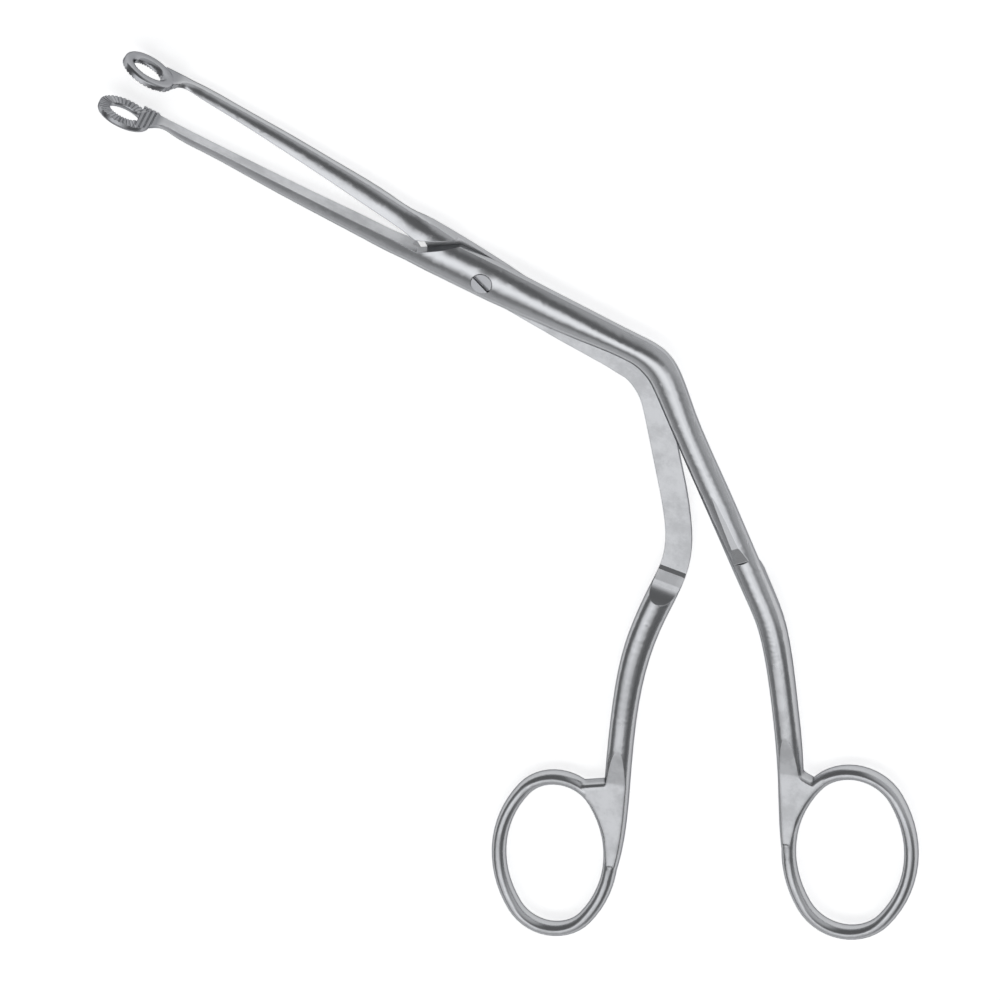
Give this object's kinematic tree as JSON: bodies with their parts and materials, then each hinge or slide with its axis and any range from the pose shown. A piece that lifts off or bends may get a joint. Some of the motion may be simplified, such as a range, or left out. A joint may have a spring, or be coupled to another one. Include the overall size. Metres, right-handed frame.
{
  "type": "magill forceps",
  "caption": "Angled Magill forceps with a screwed lap joint, serrated windowed oval jaws and offset oval finger rings, slightly open.",
  "frame": {"origin": "centre of the footprint of the forceps lying on its back, at the height of its lowest side", "axes": "+X from the jaw tips towards the finger rings along the jaws, +Z along the joint screw and out of its slotted head, +Y towards the upper jaw"},
  "size_m": [0.2302, 0.1522, 0.0115],
  "materials": {
    "lever_steel": "polished crowns, satin joint faces and jaw faces",
    "screw_steel": "satin"
  },
  "bodies": {
    "front": {"front_lever": "lever_steel"},
    "back": {"back_lever": "lever_steel", "pivot_screw": "screw_steel"}
  },
  "joints": [
    {"name": "pivot_hinge", "type": "hinge", "parent": "front", "child": "back", "pos_m": [-0.02485, 0.06331, 0.003], "axis": [0, 0, 1], "range_deg": [-28, 7.05]}
  ]
}
